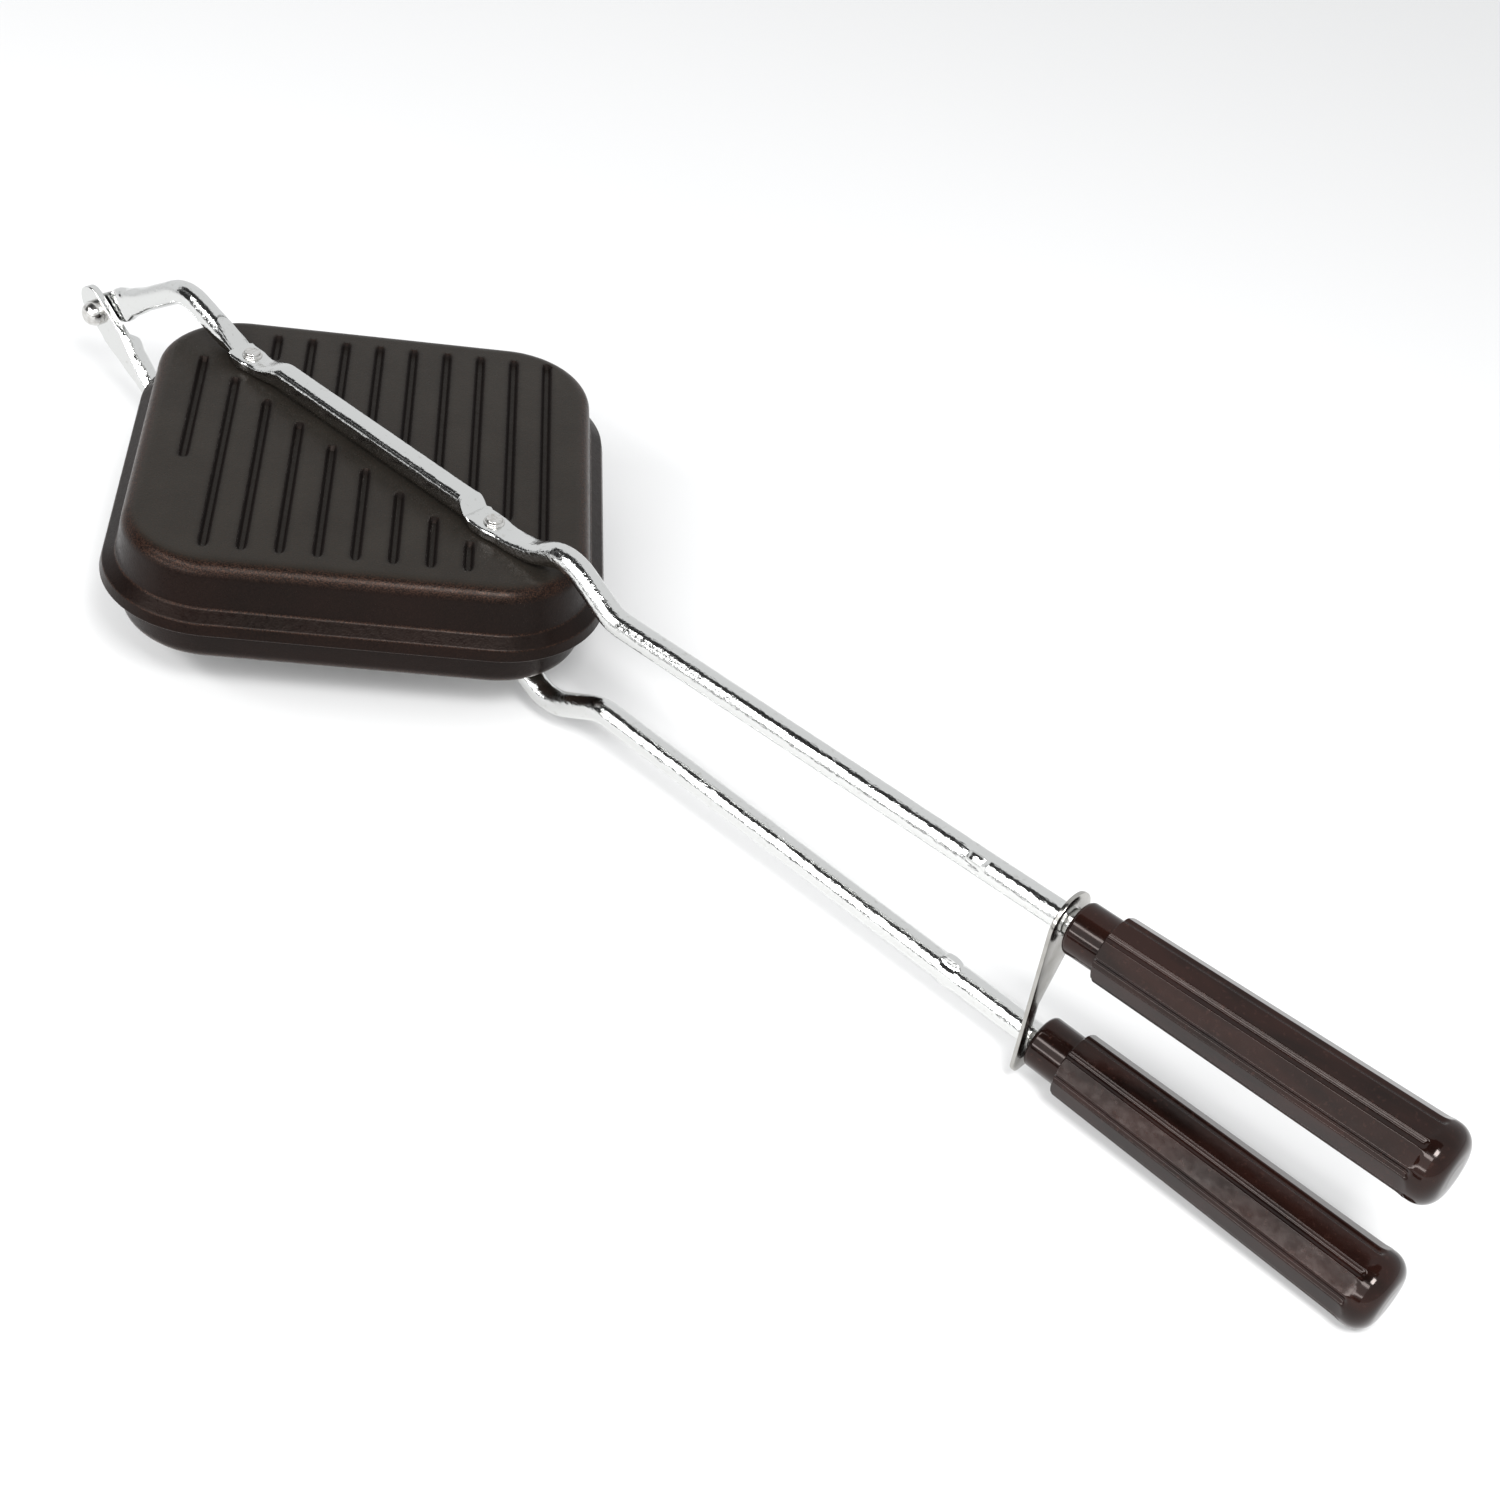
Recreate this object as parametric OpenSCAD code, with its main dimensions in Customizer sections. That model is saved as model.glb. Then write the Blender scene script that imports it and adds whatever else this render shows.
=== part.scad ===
// Hinged pie iron: two square pressed trays, each riveted under a bent rod arm.
// The arms pivot on one rivet behind the trays and end in moulded handles.
// X runs along the trays' diagonal towards the handles and Z is up. The origin is
// the middle of the lower tray's outer face, so the trays part at z = tray_h.

/* [Trays] */
// Outside width of the upper tray's rim, which is square in plan
tray_w = 121.4; // [114:0.2:130]
// Height of one tray, from the parting line to its flat face
tray_h = 14.2; // [12.6:0.1:18]
// Thickness of the pressed sheet
sheet_t = 1.4; // [1:0.1:1.7]
// Outside radius of the rim at the tray's four corners
corner_r = 27.2; // [24:0.2:32]
// Radius between the flat face and the wall
edge_r = 4.2; // [3:0.1:5.5]
// Lean of the wall from upright, in degrees
wall_draft = 8.5; // [4:0.5:12]
// Distance from the rim's outside in to the foot of the wall
rim_step = 3.9; // [3.6:0.1:5.5]
// Height of the wall's foot above the parting line
crease_h = 2.7; // [2.3:0.1:3.6]
// Height above the parting line at which the rim turns down into the lip
shoulder_h = 0.4; // [0.2:0.1:0.9]
// Distance that the upper tray's lip laps below the parting line
lip_drop = 2.7; // [2:0.1:3.5]
// Distance that the lip spreads outward as it comes down
lip_flare = 0.7; // [0.3:0.1:1]
// Gap between the two rims when the iron is closed
meet_gap = 0.3; // [0.2:0.05:0.6]
// Gap between the upper tray's lip and the edge of the lower tray's flange
nest_gap = 0.4; // [0.3:0.05:0.7]

/* [Tray grooves] */
// Number of groove lines across a tray
groove_lines = 11; // [7:2:11]
// Distance between groove lines
groove_pitch = 8.8; // [7.5:0.1:9]
// Radius of a groove's round bottom, which is also its depth
groove_r = 1.2; // [0.8:0.1:1.4]
// Length from end to end of a full groove line
groove_len = 92.9; // [80:0.1:94]
// Half width of the plain band left along the diagonal for the arm
band_half = 7.7; // [6.5:0.1:10]
// Length left plain at the near end of the upper tray's first groove
bare_field = 35.6; // [5:0.2:50]

/* [Rod arms] */
// Diameter of the rod that the arms are bent from
rod_d = 6.3; // [5.5:0.1:7]
// Height of the rod's centre line above the tray's face, between the pads
rod_lift = 3.8; // [3.7:0.1:5]
// Radius of the rod's bends, at its centre line
bend_r = 12; // [8:0.5:14]
// Radius of the small bend behind the rear pad, at the rod's centre line
pad_bend_r = 6; // [4:0.5:8]
// Radius of the long bend before the front pad, at the rod's centre line
front_bend_r = 16; // [8:0.5:18]
// Length of level rod between the front pad and its bend
front_level = 3; // [0.5:0.5:4]
// Slope of the arm where it rises from the hinge, in degrees
hinge_slope = 34; // [30:0.5:38]
// Slope of the arm from the rear pad up to its rear crest, in degrees
rear_slope = 17.5; // [14:0.5:22]
// Slope of the arm from the front pad up to its front crest, in degrees
front_slope = 19; // [14:0.5:22]
// Slope of the arm down from the front crest, in degrees
drop_slope = 28.5; // [24:0.5:34]
// Distance from the rim's front corner to where the arm levels out
drop_reach = 11.8; // [10:0.2:16]
// Height above the parting line at which the arm levels out
grip_h = 13.4; // [12.6:0.1:15]
// Slope of the arm's long straight run to the handle, in degrees
splay = 1.62; // [0.5:0.02:2.5]
// Length of the straight run, from its first bend to the handle
grip_run = 135.2; // [110:0.5:150]

/* [Pads and tray rivets] */
// Distance from the rim's corner in to a tray rivet
rivet_inset = 29.6; // [27:0.2:34]
// Length of the flattened pad that a rivet goes through
pad_len = 17.6; // [14:0.2:20]
// Width of a pad
pad_w = 8.4; // [7.6:0.1:10]
// Thickness of a pad
pad_t = 3.2; // [2.6:0.1:3.6]
// Length over which the round rod steps down to a pad
step_run = 2.6; // [1.5:0.1:4]
// Diameter of a tray rivet's shank
tray_rivet_d = 3.2; // [2.6:0.1:4]
// Diameter of a tray rivet's head
tray_head_d = 5.1; // [4.6:0.1:6.4]
// Height of a tray rivet's head
tray_head_h = 1.3; // [0.9:0.1:1.8]
// Height of the head set inside the tray
set_head_h = 0.8; // [0.5:0.1:1.2]

/* [Hinge] */
// Distance from the rim's rear corner back to the hinge rivet
hinge_reach = 32; // [28:0.5:40]
// Width of the flattened eye at the end of an arm
eye_w = 8.6; // [7.6:0.1:10]
// Thickness of an eye
eye_t = 3.2; // [2.6:0.1:3.4]
// Distance that an eye runs on past the rivet's centre
eye_tail = 7.6; // [6:0.1:8.4]
// Length from the rivet's centre to the step up to the round rod
eye_run = 11.5; // [11:0.5:14]
// Gap between the two eyes
eye_gap = 0.3; // [0.2:0.05:0.5]
// Diameter of the hinge rivet's shank
pin_d = 4; // [3.4:0.1:4.6]
// Diameter of the hinge rivet's domed head
pin_head_d = 7.6; // [6.8:0.1:8.6]
// Height of the hinge rivet's domed head
pin_head_h = 3.1; // [2.2:0.1:3.4]
// Height of the head set on the hinge rivet's far end
pin_set_h = 1.6; // [1:0.1:2.2]
// Gap around a rivet's shank in its hole
rivet_fit = 0.05; // [0.02:0.01:0.08]
// Gap between the hinge rivet's far head and the eye that turns on it
turn_gap = 0.15; // [0.1:0.01:0.3]

/* [Latch] */
// Thickness of the latch plate
latch_t = 1; // [0.8:0.1:1.6]
// Outside radius of the latch's eye
latch_eye_r = 7; // [6.4:0.1:8]
// Gap all round between the latch's eye and the rod
latch_play = 0.35; // [0.25:0.05:0.5]
// Width of the shank beside the lower rod
shank_w = 3.6; // [2.8:0.1:4.4]
// Distance below the eye at which the shank reaches that width
shank_taper = 22; // [16:0.5:26]
// Thickness of the hook under the lower rod
hook_t = 3.9; // [3:0.1:5]
// Distance that the hook reaches past the middle of the lower rod
hook_reach = 4.4; // [2:0.1:6]
// Radius of the latch's outer bottom corner
latch_corner_r = 3; // [2:0.1:3.4]
// Gap between the hook and the lower rod
hook_gap = 0.3; // [0.2:0.05:0.6]
// Gap between the latch's foot and the front of the lower handle
latch_gap = 0.45; // [0.3:0.05:4]
// Distance from the handle's front to the stop ears pinched on the rod
ear_back = 25.5; // [16:0.5:40]
// Height of a stop ear above the rod
ear_h = 1.2; // [0.6:0.1:1.8]
// Radius of a stop ear's round back
ear_r = 2.8; // [2.2:0.1:3.6]
// Thickness of a stop ear
ear_t = 1.5; // [1:0.1:2.2]

/* [Handles] */
// Length of a handle
handle_len = 90.5; // [85:0.5:110]
// Length of its plain neck
neck_len = 9; // [7:0.5:12]
// Diameter of the neck
neck_d = 12.5; // [11.6:0.1:13.4]
// Radius of the neck's front edge
neck_edge_r = 1.2; // [0.6:0.1:2]
// Diameter of the fluted body behind the neck
body_front_d = 16.2; // [15:0.1:18]
// Diameter of the fluted body where it meets the domed end
body_back_d = 18.3; // [17.5:0.1:21]
// Radius of the edges at the front of the body
body_edge_r = 0.9; // [0.5:0.1:1.4]
// Radius of the domed end's edge
end_edge_r = 4.6; // [3:0.1:6]
// Height of the domed end's crown
end_crown = 1; // [0.6:0.1:2]
// Number of flats round the body, with a flute between each two
flats = 8; // [6:1:10]
// Depth of a flat at its middle
flat_cut = 0.45; // [0.2:0.05:0.6]
// Radius of a flute's round bottom
flute_r = 0.9; // [0.6:0.1:1.1]
// Depth of a flute
flute_cut = 0.95; // [0.6:0.05:1.1]
// Plain length left between the flutes and the handle's end
end_plain = 6; // [5.5:0.5:16]
// Turn of the flats about the rod, in degrees
flat_turn = 12.5; // [0:0.5:45]

/* [Handle inserts] */
// Diameter of the metal insert moulded into a handle
insert_d = 9.4; // [8.6:0.1:10.2]
// Length of the insert
insert_len = 18; // [12:0.5:24]
// Distance from the handle's front to the insert
insert_in = 2.5; // [1.5:0.1:5]
// Diameter of the turned end of the rod inside the insert
rod_end_d = 5.8; // [4.8:0.1:6]
// Gap between the rod and the handle's hole, and between its end and the insert
rod_fit = 0.05; // [0.02:0.01:0.1]

/* [Hidden] */
$fn = 72;
// A cut runs this far past the face that it opens
past = 1;
// A bend's rod is thicker than the straights by this, and laps them by this
bend_swell = 0.05;
bend_lap = 0.3;
tray_colour = "#3d3733";
chrome_colour = "#c9ccce";
rivet_colour = "#a9acac";
handle_colour = "#3a221e";
brass_colour = "#b28a4a";

rod_r = rod_d / 2;
// Half the square that the tray's wall section is carried round
core = tray_w / 2 - corner_r;
corner_x = core * sqrt(2) + corner_r;
rivet_x = corner_x - rivet_inset;
pin = [-corner_x - hinge_reach, 0];
pad_end = rivet_x + pad_len / 2;
rod_h = tray_h + rod_lift;

function dir(a) = [cos(a), sin(a)];
function wedge(a, b) = a.x * b.y - a.y * b.x;
// Where the line through p at slope a meets the line through q at slope b
function meet(p, a, q, b) = p + dir(a) * wedge(q - p, dir(b)) / wedge(dir(a), dir(b));
// A line of the wall section, moved in by t: its slope, and a point on it
function inward(p, a, t) = p + t * dir(a - 90);

// ---- Tray section, in radius from the corner's centre and height over the parting line

wall_foot = [corner_r - rim_step, crease_h];
shoulder = [corner_r - lip_flare, shoulder_h];
lip_edge = [corner_r, -lip_drop];
wall_a = 90 + wall_draft;
rim_a = atan2(wall_foot.y - shoulder.y, wall_foot.x - shoulder.x);
lip_a = atan2(shoulder.y - lip_edge.y, shoulder.x - lip_edge.x);
edge_y = tray_h - edge_r;
edge_c = meet(inward(wall_foot, wall_a + 180, edge_r), wall_a, [0, edge_y], 0);
// The same lines inside the sheet
in_foot = inward(wall_foot, wall_a + 180, sheet_t);
in_rim = inward(shoulder, rim_a + 180, sheet_t);
in_lip = inward(lip_edge, lip_a + 180, sheet_t);
meet_y = meet_gap / 2;
in_wall_end = meet(in_foot, wall_a, [0, meet_y], 0);
in_rim_top = meet(in_rim, rim_a, [0, meet_y], 0);
in_rim_end = meet(in_rim, rim_a, in_lip, lip_a);
in_lip_end = meet(in_lip, lip_a, [0, -lip_drop - past], 0);
// The lower tray's flange lies under the rim, one gap away from it
flange_x = in_rim_end.x - nest_gap;
flange_y = meet_y + sheet_t;
flange_out = meet(wall_foot, wall_a, [0, flange_y], 0);
mirrored_rim = [in_rim_top.x, -in_rim_top.y];
flange_rim = inward(mirrored_rim, -rim_a, meet_gap);
flange_top = meet(flange_rim, -rim_a, [0, meet_y], 0);
flange_edge = meet(flange_rim, -rim_a, [flange_x, 0], 90);

// The face, its round edge and the wall, as one flat outline set in by t
module wall_outline(t, foot, rest) {
    translate(edge_c)
        circle(r = edge_r - t);
    polygon(concat([[0, tray_h - t], [edge_c.x, tray_h - t], edge_c,
        edge_c + (edge_r - t) * dir(wall_draft), foot], rest));
}

module upper_section() {
    difference() {
        wall_outline(0, wall_foot, [shoulder, lip_edge, [0, -lip_drop]]);
        wall_outline(sheet_t, in_wall_end, [in_rim_top, in_rim_end, in_lip_end,
            [0, in_lip_end.y]]);
    }
}

module lower_section() {
    difference() {
        wall_outline(0, flange_out, [[flange_x, flange_y], flange_edge, flange_top,
            [0, meet_y]]);
        wall_outline(sheet_t, in_wall_end, [in_wall_end - [0, past], [0, meet_y - past]]);
    }
}

// Carries the section in the children round the tray's rounded square
module round_tray() {
    for (side = [0 : 3])
        rotate([0, 0, 90 * side]) {
            translate([core, 0, 0])
                rotate([90, 0, 0])
                    linear_extrude(height = 2 * core, center = true)
                        children();
            translate([core, core, 0])
                rotate_extrude(angle = 90)
                    children();
        }
    translate([-core, -core, tray_h - sheet_t])
        cube([2 * core, 2 * core, sheet_t]);
}

// One groove line at height z, from y = a to y = b, with round ends
module groove(x, a, b, r) {
    translate([x, a, tray_h]) {
        rotate([-90, 0, 0])
            cylinder(h = b - a, r = r);
        sphere(r = r);
        translate([0, b - a, 0])
            sphere(r = r);
    }
}

// The pattern of grooves: each line stops at the plain band for the arm
module grooves(r, bare) {
    first = -(groove_lines - 1) / 2;
    reach = groove_len / 2;
    band = band_half * sqrt(2);
    for (i = [0 : groove_lines - 1]) {
        x = (first + i) * groove_pitch;
        near = (i == 0) ? bare - reach : -reach;
        if (-band - x > near + groove_r)
            groove(x, near, -band - x, r);
        if (band - x < reach - groove_r)
            groove(x, band - x, reach, r);
    }
}

// A tray with its face up and its middle on the parting line
module tray(bare) {
    rotate([0, 0, 45])
        difference() {
            union() {
                round_tray()
                    children();
                intersection() {
                    grooves(groove_r + sheet_t, bare);
                    translate([-tray_w / 2, -tray_w / 2, 0])
                        cube([tray_w, tray_w, tray_h - sheet_t / 2]);
                }
            }
            grooves(groove_r, bare);
            rotate([0, 0, -45])
                for (x = [-rivet_x, rivet_x])
                    translate([x, 0, 0])
                        cylinder(h = tray_h + past, d = tray_rivet_d + 2 * rivet_fit);
        }
}

// ---- Places of the two halves: the lower one is the upper one turned over

module upper_half() {
    translate([0, 0, tray_h])
        children();
}

module lower_half() {
    translate([0, 0, tray_h])
        rotate([180, 0, 0])
            children();
}

module upper_tray() {
    color(tray_colour)
        upper_half()
            tray(bare_field)
                upper_section();
}

module lower_tray() {
    color(tray_colour)
        lower_half()
            tray(0)
                lower_section();
}

// ---- Arms, drawn flat in x and height over the parting line, and then stood up

rear_pad_end = [-pad_end, rod_h];
rear_corner = rear_pad_end - [pad_bend_r * tan(rear_slope / 2), 0];
rear_crest = meet(rear_corner, -rear_slope, pin, hinge_slope);
front_pad_end = [pad_end, rod_h];
front_corner = front_pad_end + [front_level + front_bend_r * tan(front_slope / 2), 0];
level_corner = [corner_x + drop_reach, grip_h];
front_crest = meet(front_corner, front_slope, level_corner, -drop_slope);
// The handle's front, and the end of the full rod inside it
grip = level_corner + grip_run * dir(splay);
rod_stop = grip + insert_in * dir(splay);

function heading(p, q) = atan2(q.y - p.y, q.x - p.x);
function turn(pts, i) = heading(pts[i], pts[i + 1]) - heading(pts[i - 1], pts[i]);
// Length that the bend at point i takes from each straight that meets there
function trim(pts, radii, i) =
    (i == 0 || i == len(pts) - 1) ? 0 : radii[i] * tan(abs(turn(pts, i)) / 2);

// Round rod along a path of points, with a bend of the given radius at each.
// A bend swells by a hair and laps the straights that run into it.
module rod_path(pts, radii) {
    for (i = [0 : len(pts) - 2]) {
        from = trim(pts, radii, i) - (i == 0 ? 0 : bend_lap);
        run = norm(pts[i + 1] - pts[i]) - from - trim(pts, radii, i + 1)
            + (i == len(pts) - 2 ? 0 : bend_lap);
        translate(pts[i])
            rotate([0, 0, heading(pts[i], pts[i + 1])])
                translate([from, 0, 0])
                    rotate([0, 90, 0])
                        cylinder(h = max(run, bend_lap), r = rod_r);
    }
    for (i = [1 : len(pts) - 2]) {
        side = sign(turn(pts, i));
        lap = bend_lap / radii[i] * 180 / PI;
        sweep = abs(turn(pts, i)) + 2 * lap;
        in_a = heading(pts[i - 1], pts[i]);
        translate(pts[i] - trim(pts, radii, i) * dir(in_a) + side * radii[i] * dir(in_a + 90))
            rotate([0, 0, side > 0 ? in_a - 90 - lap : in_a + 90 + lap - sweep])
                rotate_extrude(angle = sweep)
                    translate([radii[i], 0])
                        circle(r = rod_r + bend_swell);
    }
}

// What the step down to a pad takes off the rod, from a pad's end at the origin
module step_cut() {
    linear_extrude(height = rod_d + past, center = true)
        polygon([[0, rod_r], [step_run, pad_t - rod_lift],
            [step_run + past, pad_t - rod_lift], [step_run + past, rod_r + past],
            [0, rod_r + past]]);
}

// The front pad, with its rivet hole and the end of the rod that rises from it
module pad() {
    difference() {
        translate([pad_end - pad_len, tray_h, -pad_w / 2])
            cube([pad_len, pad_t, pad_w]);
        translate([rivet_x, tray_h - past, 0])
            rotate([-90, 0, 0])
                cylinder(h = pad_t + 2 * past, d = tray_rivet_d + 2 * rivet_fit);
    }
    translate([pad_end, rod_h, 0])
        difference() {
            rotate([0, -90, 0])
                cylinder(h = step_run + bend_lap, r = rod_r);
            mirror([1, 0, 0])
                step_cut();
        }
}

// The rod between the two pads, stepped down at both ends
module pad_bridge() {
    reach = pad_end - pad_len;
    run_in = step_run + bend_lap;
    difference() {
        translate([-reach - run_in, rod_h, 0])
            rotate([0, 90, 0])
                cylinder(h = 2 * (reach + run_in), r = rod_r);
        for (end = [0, 1])
            mirror([end, 0, 0])
                translate([reach, rod_h, 0])
                    step_cut();
    }
}

// Flattened eye, with its length along x and the rivet's centre at the origin
module eye() {
    tail = eye_tail - eye_w / 2;
    difference() {
        translate([0, 0, -eye_t - eye_gap / 2])
            linear_extrude(height = eye_t) {
                translate([-tail, 0])
                    circle(d = eye_w);
                translate([-tail, -eye_w / 2])
                    square([tail + eye_run + step_run, eye_w]);
            }
        cylinder(h = rod_d + eye_t, d = pin_d + 2 * rivet_fit, center = true);
    }
}

// What the step down to an eye takes off the rod, in the eye's own place
module eye_step_cut() {
    step = eye_run + step_run;
    rotate([90, 0, 0])
        linear_extrude(height = rod_d + past, center = true)
            polygon([[eye_run - past, -eye_gap / 2], [eye_run, -eye_gap / 2],
                [step, rod_r], [step, rod_r + past], [eye_run - past, rod_r + past]]);
}

// Two ears pinched out of the rod, which keep the latch near the handles
module ears(roll) {
    ear_x = grip - ear_back * dir(splay);
    translate(ear_x)
        rotate([roll, 0, splay])
            for (side = [-1, 1])
                translate([0, side * (rod_r + ear_h - ear_r), 0])
                    cylinder(h = ear_t, r = ear_r, center = true);
}

// One arm: both are bent alike, and the lower one is the upper one turned over
module arm(roll) {
    rod_start = pin + eye_run * dir(hinge_slope);
    color(chrome_colour)
        rotate([90, 0, 0]) {
            translate(pin)
                rotate([0, 0, hinge_slope])
                    eye();
            difference() {
                rod_path([rod_start, rear_crest, rear_corner, rear_pad_end],
                    [0, bend_r, pad_bend_r, 0]);
                translate(pin)
                    rotate([0, 0, hinge_slope])
                        eye_step_cut();
            }
            pad_bridge();
            pad();
            mirror([1, 0, 0])
                pad();
            rod_path([front_pad_end, front_corner, front_crest, level_corner, rod_stop],
                [0, front_bend_r, bend_r, bend_r, 0]);
            translate(rod_stop)
                rotate([0, 0, splay])
                    translate([-past, 0, 0])
                        rotate([0, 90, 0])
                            cylinder(h = insert_len + past, d = rod_end_d);
            ears(roll);
        }
}

module upper_arm() {
    upper_half()
        arm(45);
}

module lower_arm() {
    lower_half()
        arm(0);
}

// ---- Rivets

// Domed head of a rivet, standing on z = 0
module dome(d, h) {
    ball = (d * d / 4 + h * h) / (2 * h);
    intersection() {
        translate([0, 0, h - ball])
            sphere(r = ball);
        cylinder(h = h + past, d = d);
    }
}

module tray_rivet(x) {
    color(rivet_colour)
        translate([x, 0, tray_h]) {
            translate([0, 0, pad_t])
                dome(tray_head_d, tray_head_h);
            translate([0, 0, -sheet_t])
                cylinder(h = sheet_t + pad_t, d = tray_rivet_d);
            translate([0, 0, -sheet_t])
                mirror([0, 0, 1])
                    dome(tray_head_d, set_head_h);
        }
}

module upper_front_rivet() {
    upper_half()
        tray_rivet(rivet_x);
}

module upper_rear_rivet() {
    upper_half()
        tray_rivet(-rivet_x);
}

module lower_front_rivet() {
    lower_half()
        tray_rivet(rivet_x);
}

module lower_rear_rivet() {
    lower_half()
        tray_rivet(-rivet_x);
}

// The rivet's head is on the lower arm's eye, and the upper arm's eye turns on it
module hinge_rivet() {
    near = eye_t + eye_gap / 2;
    far = near + turn_gap;
    color(rivet_colour)
        translate([pin.x, 0, tray_h])
            rotate([90, 0, 0]) {
                translate([0, 0, near])
                    dome(pin_head_d, pin_head_h);
                translate([0, 0, -far])
                    cylinder(h = near + far, d = pin_d);
                translate([0, 0, -far])
                    mirror([0, 0, 1])
                        dome(pin_head_d, pin_set_h);
            }
}

// ---- Latch, drawn upright with its eye at the origin

rod_room = rod_r + hook_gap;
foot_room = rod_room + hook_t;
// The plate is square to the upper rod, so its foot comes this much nearer the handles
foot_near = (2 * grip.y + 2 * foot_room) * tan(splay);
latch_at = grip - (latch_gap + foot_near + latch_t / 2) * dir(splay);
// The lower rod crosses the latch's plane at this distance under the upper one
low_level = [level_corner.x, -level_corner.y];
rod_span = norm(meet(latch_at, splay - 90, low_level, -splay) - latch_at);
shank_x = shank_w - latch_eye_r;
hook_x = shank_x + rod_room;
latch_lean = asin(hook_x / rod_span);
hook_y = -rod_span * cos(latch_lean);
latch_foot = hook_y - foot_room;
// The shank's inner edge starts at this angle below level, a little inside the eye's round
shoulder_a = 20;
shoulder_in = 0.12;

module latch_outline() {
    tip = [hook_x + hook_reach, latch_foot + hook_t / 2];
    corner = [latch_corner_r - latch_eye_r, latch_foot + latch_corner_r];
    difference() {
        union() {
            circle(r = latch_eye_r);
            polygon([[-latch_eye_r, 0], [-latch_eye_r, corner.y], corner,
                [corner.x, latch_foot], [tip.x, latch_foot], tip,
                [tip.x, latch_foot + hook_t], [hook_x, latch_foot + hook_t],
                [hook_x, hook_y], [shank_x, hook_y], [shank_x, -shank_taper],
                (latch_eye_r - shoulder_in) * dir(-shoulder_a), [0, 0]]);
            translate(corner)
                circle(r = latch_corner_r);
            translate(tip)
                circle(d = hook_t);
        }
        circle(r = rod_r + latch_play);
        translate([hook_x, hook_y])
            circle(r = rod_room);
    }
}

module latch_clip() {
    color(chrome_colour)
        upper_half()
            translate([latch_at.x, 0, latch_at.y])
                rotate([0, -splay, 0])
                    rotate([90, 0, 90])
                        rotate([0, 0, -latch_lean])
                            linear_extrude(height = latch_t, center = true)
                                latch_outline();
}

// ---- Handles, turned about z with the front of the neck at z = 0

neck_r = neck_d / 2;
body_r = body_front_d / 2;
back_r = body_back_d / 2;
end_y = handle_len - end_crown - end_edge_r;
taper = atan2(back_r - body_r, end_y - neck_len);
// The crown covers the end to this radius, inside the round edge
crown_w = back_r - end_edge_r / 2;
// A flat runs out to the handle's surface on a round of this radius
run_out = 10;
flute_run = handle_len - end_plain - neck_len;
// A ball of this radius gives the end its crown
crown_r = (crown_w * crown_w + end_crown * end_crown) / (2 * end_crown);

module handle_outline() {
    translate([neck_r - neck_edge_r, neck_edge_r])
        circle(r = neck_edge_r);
    translate([body_r - body_edge_r, neck_len + body_edge_r])
        circle(r = body_edge_r);
    translate([back_r - end_edge_r, end_y])
        circle(r = end_edge_r);
    polygon([[0, 0], [neck_r - neck_edge_r, 0], [neck_r - neck_edge_r, neck_edge_r],
        [neck_r, neck_edge_r], [neck_r, neck_len], [body_r - body_edge_r, neck_len],
        [body_r - body_edge_r, neck_len + body_edge_r], [body_r, neck_len + body_edge_r],
        [back_r, end_y], [back_r - end_edge_r, end_y],
        [back_r - end_edge_r, handle_len - end_crown], [0, handle_len - end_crown]]);
    intersection() {
        translate([0, handle_len - crown_r])
            circle(r = crown_r);
        translate([0, handle_len - end_crown - past])
            square([crown_w, end_crown + past]);
    }
}

// Cutter for a flat: a block that ends in a large round, so that the flat runs out
module flat_cutter() {
    translate([0, -body_r, 0])
        cube([body_r, 2 * body_r, flute_run - run_out / 2]);
    translate([run_out, 0, flute_run - run_out / 2])
        rotate([90, 0, 0])
            cylinder(h = 2 * body_r, r = run_out, center = true);
}

module flute_cutter() {
    cylinder(h = flute_run, r = flute_r);
    translate([0, 0, flute_run])
        sphere(r = flute_r);
}

module handle() {
    difference() {
        rotate_extrude()
            intersection() {
                handle_outline();
                square([back_r, handle_len]);
            }
        for (i = [0 : flats - 1]) {
            rotate([0, 0, flat_turn + i * 360 / flats])
                translate([body_r - flat_cut, 0, neck_len - past])
                    rotate([0, taper, 0])
                        flat_cutter();
            rotate([0, 0, flat_turn + (i + 0.5) * 360 / flats])
                translate([body_r + flute_r - flute_cut, 0, neck_len - past])
                    rotate([0, taper, 0])
                        flute_cutter();
        }
        translate([0, 0, -past])
            cylinder(h = insert_in + 2 * past, r = rod_r + rod_fit);
        translate([0, 0, insert_in])
            cylinder(h = insert_len, d = insert_d);
    }
}

// Stands a handle or its insert on the end of an arm
module on_grip() {
    translate([grip.x, 0, grip.y])
        rotate([0, 90 - splay, 0])
            children();
}

module handle_insert() {
    translate([0, 0, insert_in])
        difference() {
            cylinder(h = insert_len, d = insert_d);
            translate([0, 0, -past])
                cylinder(h = insert_len + 2 * past, d = rod_end_d + 2 * rod_fit);
        }
}

module upper_handle() {
    color(handle_colour)
        upper_half()
            on_grip()
                handle();
}

module lower_handle() {
    color(handle_colour)
        lower_half()
            on_grip()
                handle();
}

module upper_handle_insert() {
    color(brass_colour)
        upper_half()
            on_grip()
                handle_insert();
}

module lower_handle_insert() {
    color(brass_colour)
        lower_half()
            on_grip()
                handle_insert();
}

lower_tray();
upper_tray();
lower_arm();
upper_arm();
hinge_rivet();
lower_front_rivet();
lower_rear_rivet();
upper_front_rivet();
upper_rear_rivet();
latch_clip();
lower_handle();
upper_handle();
lower_handle_insert();
upper_handle_insert();
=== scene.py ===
from bisect import bisect_right
from math import atan2, ceil, cos, degrees, hypot, pi, radians, sin, sqrt, tan

import bmesh
import bpy
from mathutils import Matrix, Vector


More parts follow.
